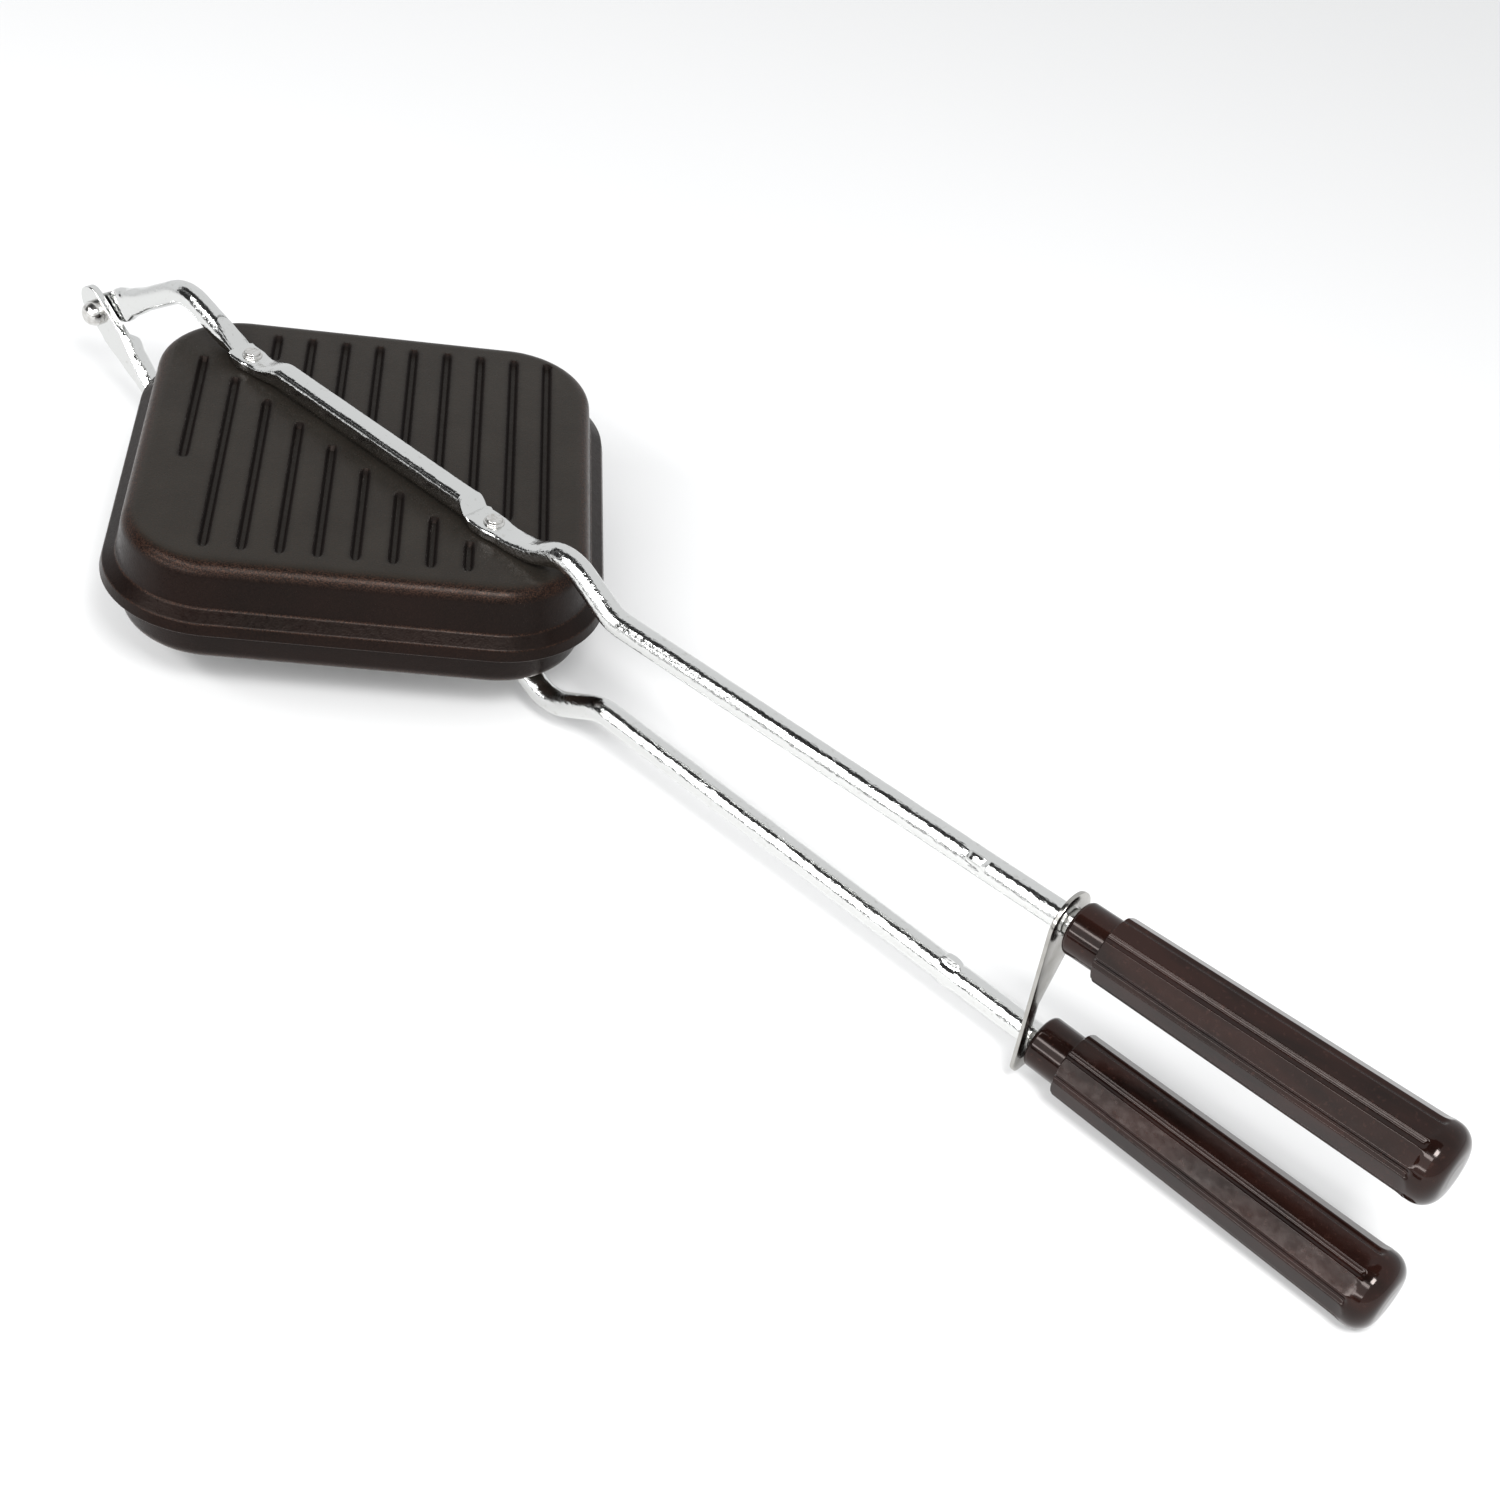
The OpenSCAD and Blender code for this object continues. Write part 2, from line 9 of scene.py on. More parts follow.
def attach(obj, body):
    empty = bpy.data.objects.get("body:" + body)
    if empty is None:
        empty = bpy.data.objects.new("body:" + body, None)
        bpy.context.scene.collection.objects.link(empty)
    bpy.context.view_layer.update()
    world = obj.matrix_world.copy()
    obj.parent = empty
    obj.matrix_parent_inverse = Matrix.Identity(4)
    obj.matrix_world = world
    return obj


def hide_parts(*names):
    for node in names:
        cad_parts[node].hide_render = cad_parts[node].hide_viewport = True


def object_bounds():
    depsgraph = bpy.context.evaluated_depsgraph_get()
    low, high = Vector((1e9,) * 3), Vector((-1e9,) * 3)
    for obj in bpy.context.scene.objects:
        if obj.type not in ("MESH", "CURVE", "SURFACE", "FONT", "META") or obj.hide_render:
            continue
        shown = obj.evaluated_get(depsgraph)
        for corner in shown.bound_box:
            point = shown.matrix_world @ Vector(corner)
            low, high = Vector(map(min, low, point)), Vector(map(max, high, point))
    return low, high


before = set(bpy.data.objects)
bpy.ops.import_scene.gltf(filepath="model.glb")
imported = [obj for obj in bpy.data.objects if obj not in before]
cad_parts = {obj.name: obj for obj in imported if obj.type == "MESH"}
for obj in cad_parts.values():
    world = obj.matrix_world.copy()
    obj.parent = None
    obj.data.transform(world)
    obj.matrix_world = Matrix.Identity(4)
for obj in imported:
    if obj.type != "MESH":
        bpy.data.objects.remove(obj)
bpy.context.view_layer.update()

# ---- Trays
# Two square pans pressed from 1.4 mm sheet, each with a pattern of drawn grooves and a
# rim; the upper rim turns down into a lip that laps the lower one's flange. Both are
# sprayed with a dark satin non-stick coating that has a fine metallic fleck. Its colour
# also carries painted light: a lighter top, darker walls, painted highlights on the
# rounded edges and painted shade in the grooves.

MM = 0.001
TRAY_H = 14.2
SHEET_T = 1.4
CORE = 33.5
FLAT_R = 17.9624
GROOVE_PITCH = 8.8
GROOVE_LINES = 11
GROOVE_DEPTH = 1.2
GROOVE_REACH = 46.45
GROOVE_BAND = 7.7 * sqrt(2)
BARE_FIELD = 35.6
# How far across a groove its flat bottom and its shoulders reach, outside and inside
GROOVE_OUT = (0.4, 1.4)
GROOVE_IN = (0.5, 2.9)
# Places across one groove, and out to the edge of the flat, where the sheet has a vertex
GROOVE_STEPS = (0, 0.4, 0.6, 0.85, 1.1, 1.4, 1.9, 2.6)
MARGIN_STEPS = (47.6, 48.9, 50.2, CORE + FLAT_R)
ROWS = 120
# The band at the flat's round corners that takes up the grid's square corners
CORNER_BAND = 1.15
# A vertex further than this under the flat is on the wall and gets no groove
GROOVED_DEPTH = 3
# How far off a groove is looked for, how dark the painted shade beside it is, and from
# what share of its reach that painted shade starts
NEAR_GROOVE = 0.6 * GROOVE_PITCH
FLANK_SHADE = 0.6
SHADE_FROM = 0.7
# Wall sections as radius from a corner's centre and height over the parting line,
# with the radius that rounds each corner
OUTER_WALL = ((FLAT_R - 2, 14.2, 0), (21.581, 14.2, 4.2), (23.3, 2.7, 1.2), (26.5, 0.4, 0.9))
UPPER_RIM = ((27.2, -2.7, 0.45), (26.3, -2.7, 0))
INNER_WALL = ((FLAT_R - 2, 12.8, 0), (20.374, 12.8, 2.8), (22.23, 0.3, 0.3))
UPPER_UNDER = ((24.9, 0.16, 0.4), (25.25, -0.4, 0.5), (25.765, -2.7, 0.3), (26.3, -2.7, 0))
LOWER_WALL = ((FLAT_R - 2, 14.2, 0), (21.581, 14.2, 4.2), (23.45, 1.6, 0.8))
LOWER_RIM = ((24.85, 1.55, 0.35), (24.85, 0.9, 0))
LOWER_UNDER = ((24.2, 0.16, 0.3), (24.85, 0.5, 0.2), (24.85, 0.9, 0))
# The first vertices of a rounded wall section are on the flat, which has them already
ON_FLAT = 3
UPPER_HALF = Matrix.Translation((0, 0, TRAY_H))
LOWER_HALF = UPPER_HALF @ Matrix.Rotation(pi, 4, "X")


def smoothstep(low, high, x):
    t = min(max((x - low) / (high - low), 0), 1)
    return t * t * (3 - 2 * t)


def rounded(points, degrees_each=9, guard=0.12):
    """An outline through (x, y, radius) points as a list of vertices, its corners rounded.

    guard is how far past an arc's end, in radii, a vertex keeps its shading off the straight.
    """
    line = [Vector(points[0][:2])]
    for before, here, after in zip(points, points[1:], points[2:]):
        corner, radius = Vector(here[:2]), here[2]
        back = (Vector(before[:2]) - corner).normalized()
        on = (Vector(after[:2]) - corner).normalized()
        turn = pi - back.angle(on)
        if radius == 0 or turn < 0.01:
            line.append(corner)
            continue
        reach = radius * tan(turn / 2)
        centre = corner + (back + on).normalized() * radius / cos(turn / 2)
        start, end = corner + back * reach, corner + on * reach
        steps = max(2, ceil(degrees(turn) / degrees_each))
        a0 = atan2(*(start - centre).yx)
        swing = (atan2(*(end - centre).yx) - a0 + pi) % (2 * pi) - pi
        line.append(start + back * radius * guard)
        for i in range(steps + 1):
            a = a0 + swing * i / steps
            line.append(centre + radius * Vector((cos(a), sin(a))))
        line.append(end + on * radius * guard)
    line.append(Vector(points[-1][:2]))
    return line


def groove_runs(bare):
    """Every groove as (x, lowest y, highest y); bare is left plain on the first one."""
    runs = []
    for i in range(GROOVE_LINES):
        x = (i - (GROOVE_LINES - 1) / 2) * GROOVE_PITCH
        near = bare - GROOVE_REACH if i == 0 else -GROOVE_REACH
        if -GROOVE_BAND - x > near + GROOVE_DEPTH:
            runs.append((x, near, -GROOVE_BAND - x))
        if GROOVE_BAND - x < GROOVE_REACH - GROOVE_DEPTH:
            runs.append((x, GROOVE_BAND - x, GROOVE_REACH))
    return runs


def press_skin(bm, level, section, runs, shape):
    """One side of the pressed sheet: a grooved flat, carried on down the wall to the rim."""
    groove_shade_paint = bm.verts.layers.float.get("groove_shade_paint") or bm.verts.layers.float.new("groove_shade_paint")
    middles = [GROOVE_PITCH * (i - (GROOVE_LINES - 1) / 2) for i in range(GROOVE_LINES)]
    across = {c + s * d for c in middles for d in GROOVE_STEPS for s in (1, -1)}
    across |= {c + GROOVE_PITCH / 2 for c in middles[:-1]}
    across |= {s * m for m in MARGIN_STEPS for s in (1, -1)}
    columns = sorted(round(c, 4) for c in across)
    made = bmesh.ops.create_grid(bm, x_segments=len(columns) - 1, y_segments=ROWS, size=1)
    reach = CORE + FLAT_R
    safe = FLAT_R - CORNER_BAND
    for v in made["verts"]:
        column = round((v.co.x + 1) / 2 * (len(columns) - 1))
        x, y = columns[column], v.co.y * reach
        # the square grid's corners are drawn in to the flat's round corners
        a, b = abs(x) - CORE, abs(y) - CORE
        r = hypot(a, b)
        if a > 0 and b > 0 and r > safe:
            edge = FLAT_R * r / max(a, b)
            pull = (safe + (r - safe) * (FLAT_R - safe) / (edge - safe)) / r
            x = (CORE + a * pull) * (1 if x > 0 else -1)
            y = (CORE + b * pull) * (1 if y > 0 else -1)
        v.co = (x, y, level)
    faces = {f for v in made["verts"] for f in v.link_faces}
    rim = [e for f in faces for e in f.edges if e.is_boundary]
    for r, h in section:
        drawn = bmesh.ops.extrude_edge_only(bm, edges=rim)["geom"]
        for v in drawn:
            if isinstance(v, bmesh.types.BMVert):
                core = Vector((min(max(v.co.x, -CORE), CORE), min(max(v.co.y, -CORE), CORE)))
                out = (v.co.xy - core).normalized()
                v.co = (core + out * r).to_3d() + Vector((0, 0, h))
        rim = [e for e in drawn if isinstance(e, bmesh.types.BMEdge) and e.is_boundary]
    for v in bm.verts:
        if v.tag or v.co.z < level - GROOVED_DEPTH:
            continue
        near = min(hypot(v.co.x - x, max(lo - v.co.y, 0, v.co.y - hi)) for x, lo, hi in runs
                   if abs(v.co.x - x) < NEAR_GROOVE or x in (middles[0], middles[-1]))
        v.co.z -= GROOVE_DEPTH * (1 - smoothstep(*shape, near))
        part = min(max((near - shape[0]) / (shape[1] - shape[0]), 0), 1)
        shade = FLANK_SHADE * (1 - smoothstep(shape[1] * SHADE_FROM, shape[1] + 1, near))
        # The layer takes painted shade: strongest on a groove's flank, fading out beside it
        v[groove_shade_paint] = max(4 * part * (1 - part), shade)
    for v in bm.verts:
        v.tag = True


def piece(name, bm, place, finish, crease=32):
    """Turns a mesh drawn in millimetres into an object in its place, sharp past that angle."""
    bmesh.ops.transform(bm, matrix=Matrix.Scale(MM, 4) @ place, verts=bm.verts)
    bmesh.ops.recalc_face_normals(bm, faces=bm.faces)
    for face in bm.faces:
        face.smooth = True
    for edge in bm.edges:
        edge.smooth = edge.is_boundary or edge.calc_face_angle(0) < radians(crease)
    mesh = bpy.data.meshes.new(name)
    bm.to_mesh(mesh)
    bm.free()
    mesh.materials.append(finish.material)
    made = bpy.data.objects.new(name, mesh)
    bpy.context.scene.collection.objects.link(made)
    return made


class Wire:
    """What a node's socket gives. Arithmetic on it adds Math nodes."""

    def __init__(self, finish, socket):
        self.finish, self.socket = finish, socket

    def maths(self, operation, first, second):
        return self.finish.node("Math", {"operation": operation}, {0: first, 1: second})

    def __add__(self, other):
        return self.maths("ADD", self, other)

    def __radd__(self, other):
        return self.maths("ADD", other, self)

    def __sub__(self, other):
        return self.maths("SUBTRACT", self, other)

    def __rsub__(self, other):
        return self.maths("SUBTRACT", other, self)

    def __mul__(self, other):
        return self.maths("MULTIPLY", self, other)

    def __rmul__(self, other):
        return self.maths("MULTIPLY", other, self)


class Finish:
    """A material. constants are values of the Principled shader's own sockets."""

    def __init__(self, name, constants):
        self.material = bpy.data.materials.new(name)
        self.material.use_nodes = True
        self.tree = self.material.node_tree
        self.shader = self.tree.nodes["Principled BSDF"]
        self.feed(self.shader, constants)
        self.here = self.node("TexCoord", {}, {}, "Object")

    def feed(self, node, sockets):
        for key, value in sockets.items():
            if isinstance(value, Wire):
                self.tree.links.new(value.socket, node.inputs[key])
            else:
                node.inputs[key].default_value = value

    def node(self, kind, settings, sockets, output=0):
        made = self.tree.nodes.new("ShaderNode" + kind)
        for key, value in settings.items():
            setattr(made, key, value)
        self.feed(made, sockets)
        return Wire(self, made.outputs[output])

    def noise(self, scale, detail=2.0, stretch=(1, 1, 1)):
        """Noise with that many grains to the metre, drawn out where stretch is under 1."""
        seen = self.node("Mapping", {}, {"Vector": self.here, "Scale": stretch})
        return self.node("TexNoise", {}, {"Vector": seen, "Scale": scale, "Detail": detail})

    def within(self, value, low, high, to_low=0.0, to_high=1.0):
        """value from low to high becomes to_low to to_high, and stays inside them."""
        return self.node("MapRange", {"clamp": True}, {
            "Value": value, "From Min": low, "From Max": high,
            "To Min": to_low, "To Max": to_high})

    def mix(self, share, first, second):
        """Two colours mixed."""
        return self.node("Mix", {"data_type": "RGBA"}, {0: share, 6: first, 7: second}, 2)

    def relief(self, height, distance, strength=1.0, under=None):
        """A bump of that height in metres, laid over another one."""
        sockets = {"Height": height, "Distance": distance, "Strength": strength}
        if under is not None:
            sockets["Normal"] = under
        return self.node("Bump", {}, sockets)

    def vary_sockets(self, sockets):
        """What changes over the surface."""
        self.feed(self.shader, sockets)


coating = Finish("satin_coating", {
    "Specular IOR Level": 0.13, "Specular Tint": (1.0, 0.84, 0.76, 1)})
facing = coating.node("TexCoord", {}, {}, "Normal")
level = coating.node("Math", {"operation": "ABSOLUTE"}, {
    0: coating.node("SeparateXYZ", {}, {"Vector": facing}, "Z")})
# The pressing's groove layer holds painted shade on and beside the grooves' flanks
painted_groove_shade = coating.node("Attribute", {"attribute_name": "groove_shade_paint"}, {}, "Fac")
blotch = coating.within(coating.noise(55, 4), 0.35, 0.65)
flakes = coating.within(coating.noise(2900, 1), 0.45, 0.62)
# Painted light and shade: surfaces lying flat get a lighter tone and walls a darker one, by the
# way each faces
shaded_wall_tone = coating.mix(blotch, (0.0026, 0.0014, 0.0012, 1), (0.0046, 0.0021, 0.0017, 1))
lit_top_tone = coating.mix(blotch, (0.0114, 0.0103, 0.0086, 1), (0.0150, 0.0135, 0.0112, 1))
lit_top_share = coating.within(level, 0.83, 0.98)
coat_with_painted_light = coating.mix(lit_top_share, shaded_wall_tone, lit_top_tone)
# Painted highlight: bright metallic flake is mixed in on the rounded edges that face up at a
# slant, and at the rim only where the sheet turns down
off_rim = coating.within(coating.node("Math", {"operation": "ABSOLUTE"}, {
    0: coating.node("SeparateXYZ", {}, {"Vector": coating.here}, "Z") - TRAY_H * MM}),
    0.0022, 0.0036)
painted_highlight_band = coating.within(level, 0.2, 0.5) * coating.within(
    level, 0.60 + 0.26 * off_rim, 0.74 + 0.245 * off_rim, 1.0, 0.0)
# The flake share is the real fleck everywhere, plus painted sheen on the top and the painted
# highlight on the rounded edges
fleck_and_highlight_share = flakes * (1 - painted_groove_shade) * (0.03 + 0.04 * lit_top_share + 0.34 * painted_highlight_band)
coat_with_painted_light = coating.mix(fleck_and_highlight_share, coat_with_painted_light, (0.070, 0.036, 0.024, 1))
# Painted shade darkens the grooves' flanks and the coating beside them
coat_with_painted_light = coating.mix(painted_groove_shade * 0.9, coat_with_painted_light, (0.002, 0.0016, 0.0015, 1))
orange_peel = coating.relief(coating.noise(420, 2), 0.00012, 0.3)
grit = coating.relief(coating.noise(2300, 2), 0.00005, 0.7, orange_peel)
coating.vary_sockets({
    "Base Color": coat_with_painted_light,
    "Metallic": fleck_and_highlight_share * 0.9,
    "Roughness": coating.within(coating.noise(900, 3), 0.3, 0.7, 0.27, 0.38) + painted_groove_shade * 0.3,
    "Normal": grit})

for name, half, body, bare, wall, rim, under in (
        ("upper_tray", UPPER_HALF, "upper", BARE_FIELD, OUTER_WALL, UPPER_RIM, UPPER_UNDER),
        ("lower_tray", LOWER_HALF, "lower", 0, LOWER_WALL, LOWER_RIM, LOWER_UNDER)):
    bm = bmesh.new()
    runs = groove_runs(bare)
    press_skin(bm, TRAY_H, rounded(wall + rim)[ON_FLAT:], runs, GROOVE_OUT)
    press_skin(bm, TRAY_H - SHEET_T, rounded(INNER_WALL + under)[ON_FLAT:], runs, GROOVE_IN)
    bmesh.ops.remove_doubles(bm, verts=bm.verts, dist=0.001)
    tray = piece(name + "_pressing", bm, half @ Matrix.Rotation(pi / 4, 4, "Z"), coating,
                 crease=40)
    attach(tray, body)
    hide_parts(name)

# ---- Arms
# Each arm is one length of 6.3 mm steel rod, forged flat at the hinge eye and at the two
# pads that sit on its tray, bent, pinched into a pair of ears near the handle, and then
# bright plated. The lower arm is the same as the upper one, turned over.

ROD_R = 3.15
PAD_END = 53.776
ROD_H = 18.0
SPLAY = radians(1.62)
PIN = (-106.576, 0)
GRIP = (221.522, 17.2222)
ROD_END = 20.5
EYE_SLOPE = radians(34)
EYE_TAIL = 7.6
EYE_HALF = 4.3
EYE_GAP = 0.15
EYE_STEP = 10.4
EYE_BLEND = 5.5
NECK_RUN = 13
STEP_RUN = 2.6
PAD_TOP = -0.6
TOE_TOP = -0.5
# The pressed outer face of the eye starts to run out this far past the pin, over as much
FACE_RUN = 12
# The end of the rod is turned down to fit the insert, from this far inside the handle
PLUG_R = 2.9
PLUG_AT = 2.5
EAR_BACK = 25.5
EAR_H = 1.2
EAR_HALF_LEN = 2.6
# Across an ear: where its crest ends and its foot, and the hollow drawn in beside it
EAR_FLANK = (0.55, 1.25)
HOLLOW_DEEP = 0.3
HOLLOW_START = (1.0, 1.7)
HOLLOW_END = (1.7, 3.4)
RING = 64
# Rings are this far apart where nothing changes, and never closer than the other
PLAIN_GAP = 2.2
LEAST_GAP = 0.1
# The rod's centre line as (x, height over the parting line, radius of the bend there)
CENTRE_LINE = ((PIN[0] - EYE_TAIL * cos(EYE_SLOPE), PIN[1] - EYE_TAIL * sin(EYE_SLOPE), 0),
               (-71.8658, 23.4125, 12), (-54.6994, ROD_H, 6),
               (59.453, ROD_H, 16), (70.744, 21.8876, 12), (86.3762, 13.4, 12),
               (GRIP[0] + ROD_END * cos(SPLAY), GRIP[1] + ROD_END * sin(SPLAY), 0))
# Sections of the rod: reach to -Y, +Y, down and up from its centre, and squareness
ROUND = (-ROD_R, ROD_R, -ROD_R, ROD_R, 2.0)
EYE_SQUARE = 7.0
EYE = (EYE_GAP, 2.5, -EYE_HALF, EYE_HALF, EYE_SQUARE)
SPREAD = (-3.1, 3.3, -4.7, 4.7, 3.0)
NECKED = (-3.1, 3.25, -3.7, 3.7, 2.5)
PAD_MID = (-4.2, 4.2, -3.78, PAD_TOP, 5.0)
PAD_TOE = (-3.6, 3.6, -3.7, TOE_TOP, 4.2)
BRIDGE = (-3.2, 3.2, -ROD_R, 2.75, 3.3)
SWELL = (-4.1, 3.35, -3.5, 2.75, 3.6)
NO_CUT = 9.0
# The eye's round end as angles from its tip
EYE_TIP = (6, 14, 24, 36, 50, 68, 90)
# Each pad: where its step starts and the step's run, the sections before and at the step,
# where its toe ends and over what length that blends, and the section after it
PADS = ((-59.5, 9.5, ROUND, ROUND, -41.5, 10, BRIDGE),
        (36.176, STEP_RUN, BRIDGE, SWELL, 49.5, 18, ROUND))


def bent_runs(points):
    """Straights and bends through the points, as (length, start, heading, curvature)."""
    runs, here = [], Vector(points[0][:2])
    for before, corner, after in zip(points, points[1:], points[2:]):
        at = Vector(corner[:2])
        a = atan2(*(at - Vector(before[:2])).yx)
        b = atan2(*(Vector(after[:2]) - at).yx)
        trim = corner[2] * tan(abs(b - a) / 2)
        bend_in = at - trim * Vector((cos(a), sin(a)))
        runs.append(((bend_in - here).length, here, a, 0))
        runs.append((abs(b - a) * corner[2], bend_in, a, (1 if b > a else -1) / corner[2]))
        here = at + trim * Vector((cos(b), sin(b)))
    end = Vector(points[-1][:2])
    return runs + [((end - here).length, here, atan2(*(end - here).yx), 0)]


def on_line(runs, s):
    """Place and heading at the length s along the bent runs."""
    for length, start, heading, bend in runs:
        if s <= length or runs[-1][1] is start:
            turned = heading + bend * s
            if bend == 0:
                return start + s * Vector((cos(heading), sin(heading))), heading
            side = Vector((-sin(heading), cos(heading)))
            return start + (side - Vector((-sin(turned), cos(turned)))) / bend, turned
        s -= length


rod_runs = bent_runs(CENTRE_LINE)
lengths = [run[0] for run in rod_runs]
pad_start = sum(lengths[:4])
pin_s = EYE_TAIL
grip_s = sum(lengths) - ROD_END
ear_s = grip_s - EAR_BACK


def pad_s(x):
    return pad_start + x + PAD_END


# What the section is along the rod: (length, section, lean of the ring up, lean to the
# side, cut from above, cut from -Y). A lean lays a ring along the slope of a forged step.
SIDE_LEAN = -STEP_RUN / (ROD_R + EYE_GAP)
HAIR = 0.02
# Keys before a pad's step, where rings stand upright and where most of the lean is reached,
# and after it, where the pad has its section and where rings stand upright again
UPRIGHT = 4
LEAN_REACH = 2.6
LEANING = 2.2
LEAN_PART = 0.7
FORMED = 1.6
SETTLED = 6
keys = []
for a in EYE_TIP:
    tip = EYE_HALF * (1 - cos(radians(a)))
    reach = EYE_HALF * sin(radians(a))
    keys.append((tip, EYE[:2] + (-reach, reach, EYE_SQUARE), 0, 0, NO_CUT, EYE_GAP))
eye_step = pin_s + EYE_STEP + STEP_RUN * EYE_GAP / (ROD_R + EYE_GAP)
keys += [(eye_step - EYE_BLEND, EYE, 0, 0, NO_CUT, EYE_GAP),
         (eye_step - HAIR, SPREAD, 0, SIDE_LEAN, NO_CUT, EYE_GAP),
         (eye_step, SPREAD, 0, SIDE_LEAN, NO_CUT, -NO_CUT),
         (eye_step + EYE_BLEND, NECKED, 0, 0, NO_CUT, -NO_CUT),
         (eye_step + NECK_RUN, ROUND, 0, 0, NO_CUT, -NO_CUT)]
for start, run, before, swell, toe, blend, after in PADS:
    lean = -run / (before[3] - PAD_TOP)
    step = pad_s(start) - lean * before[3]
    keys += [(step - LEAN_REACH * abs(lean) - UPRIGHT, before, 0, 0, NO_CUT, -NO_CUT),
             (step - LEANING, before, lean * LEAN_PART, 0, NO_CUT, -NO_CUT),
             (step, swell, lean, 0, NO_CUT, -NO_CUT),
             (step + HAIR, swell, lean, 0, PAD_TOP, -NO_CUT),
             (step + FORMED, PAD_MID, lean / 2, 0, PAD_TOP, -NO_CUT),
             (step + SETTLED, PAD_MID, 0, 0, PAD_TOP, -NO_CUT),
             (pad_s(toe) - HAIR, PAD_TOE, 0, 0, TOE_TOP, -NO_CUT),
             (pad_s(toe), PAD_TOE, 0, 0, NO_CUT, -NO_CUT),
             (pad_s(toe) + blend, after, 0, 0, NO_CUT, -NO_CUT)]
thin = tuple(x * PLUG_R / ROD_R for x in ROUND[:4]) + ROUND[4:]
plug_s = grip_s + PLUG_AT
keys += [(plug_s, ROUND, 0, 0, NO_CUT, -NO_CUT),
         (plug_s + HAIR, thin, 0, 0, NO_CUT, -NO_CUT),
         (sum(lengths), thin, 0, 0, NO_CUT, -NO_CUT)]
keys = [(s,) + section + tuple(rest) for s, section, *rest in keys]


def section_at(s):
    """The rod's section, leans and cuts at the length s, eased from key to key."""
    k = min(max(bisect_right([key[0] for key in keys], s) - 1, 0), len(keys) - 2)
    low, high = keys[k], keys[k + 1]
    t = smoothstep(low[0], high[0], s)
    return [a + (b - a) * t for a, b in zip(low[1:], high[1:])]


def outer_flat(s):
    """The eye's outer face is pressed flat, and runs out along the round rod."""
    run_out = min(max((s - pin_s - FACE_RUN) / FACE_RUN, 0), 2)
    return EYE[1] + (ROD_R + EYE_GAP - EYE[1]) * run_out


def stations():
    """Where the rod has a ring of vertices: close together at its forged places and bends."""
    marks = [key[0] for key in keys] + [sum(lengths[:i]) for i in range(1, len(lengths))]
    # (from, to, gap) for the eye, the two pads, the ears and the bends
    fine = [(0, pin_s + EYE_STEP + 12, 0.6), (pad_start - 10, pad_s(-28), 0.45),
            (pad_s(28), pad_s(66), 0.45), (ear_s - 4, ear_s + 4, 0.22)]
    fine += [(sum(lengths[:i]), sum(lengths[:i + 1]), 0.55) for i in (1, 3, 5, 7, 9)]
    spots, s = set(round(m, 4) for m in marks), 0.0
    while s < sum(lengths):
        spots.add(round(s, 4))
        s += min([gap for lo, hi, gap in fine if lo <= s <= hi] + [PLAIN_GAP])
    spots = sorted(spots)
    kept = [spots[0]]
    for s in spots[1:]:
        if s - kept[-1] > LEAST_GAP or min(abs(s - m) for m in marks) < 0.001:
            kept.append(s)
    return kept


def forge_arm(name, ear_roll, half, body):
    """The rod rolled up from a sheet of rings, with its ears turned by ear_roll."""
    rings = stations()
    sections = [section_at(s) for s in rings]
    bm = bmesh.new()
    made = bmesh.ops.create_grid(bm, x_segments=len(rings) - 1, y_segments=RING, size=1)
    for v in made["verts"]:
        ring = round((v.co.x + 1) / 2 * (len(rings) - 1))
        s = rings[ring]
        a = round((v.co.y + 1) / 2 * RING) * 2 * pi / RING
        left, right, low, high, square, *rest = sections[ring]
        up_lean, side_lean, top_cut, side_cut = rest
        c, n = cos(a), sin(a)
        power = 2 / square
        y = (left + right) / 2 + (right - left) / 2 * abs(c) ** power * (1 if c > 0 else -1)
        up = (low + high) / 2 + (high - low) / 2 * abs(n) ** power * (1 if n > 0 else -1)
        up, y = min(up, top_cut), min(max(y, side_cut), outer_flat(s))
        # the ears stand out on two sides, with the metal drawn in beside them
        lift = max(0, 1 - ((s - ear_s) / EAR_HALF_LEN) ** 2)
        if lift > 0:
            off = abs((a - radians(90) - ear_roll + pi / 2) % pi - pi / 2) * ROD_R
            swell = EAR_H * (1 - smoothstep(*EAR_FLANK, off)) * sqrt(lift)
            hollow = smoothstep(*HOLLOW_START, off) * (1 - smoothstep(*HOLLOW_END, off))
            swell -= HOLLOW_DEEP * hollow * lift
            up, y = up * (1 + swell / ROD_R), y * (1 + swell / ROD_R)
        at, heading = on_line(rod_runs, s + up_lean * up + side_lean * y)
        v.co = (at.x - sin(heading) * up, y, at.y + cos(heading) * up)
    bmesh.ops.remove_doubles(bm, verts=bm.verts, dist=0.0005)
    bmesh.ops.holes_fill(bm, edges=[e for e in bm.edges if e.is_boundary], sides=0)
    arm = piece(name + "_rod", bm, half, plating, crease=30)
    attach(arm, body)
    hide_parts(name)


plating = Finish("bright_plating", {"Metallic": 1.0})
drawn_lines = plating.noise(900, 3, (0.03, 1, 1))
pits = plating.within(plating.noise(650, 2), 0.62, 0.8)
grain = plating.noise(1500, 3, (0.5, 1, 1))
ripple = plating.relief(plating.noise(230, 3, (0.35, 1, 1)), 0.00045, 0.35)
orange = plating.relief(grain, 0.00012, 0.75, ripple)
plating.vary_sockets({
    "Base Color": plating.mix(pits * 0.5, (0.675, 0.68, 0.67, 1), (0.47, 0.46, 0.43, 1)),
    "Roughness": plating.within(drawn_lines, 0.3, 0.7, 0.06, 0.13) + pits * 0.12,
    "Normal": plating.relief(drawn_lines, 0.00003, 0.3, orange)})

forge_arm("upper_arm", radians(45), UPPER_HALF, "upper")
forge_arm("lower_arm", 0.0, LOWER_HALF, "lower")

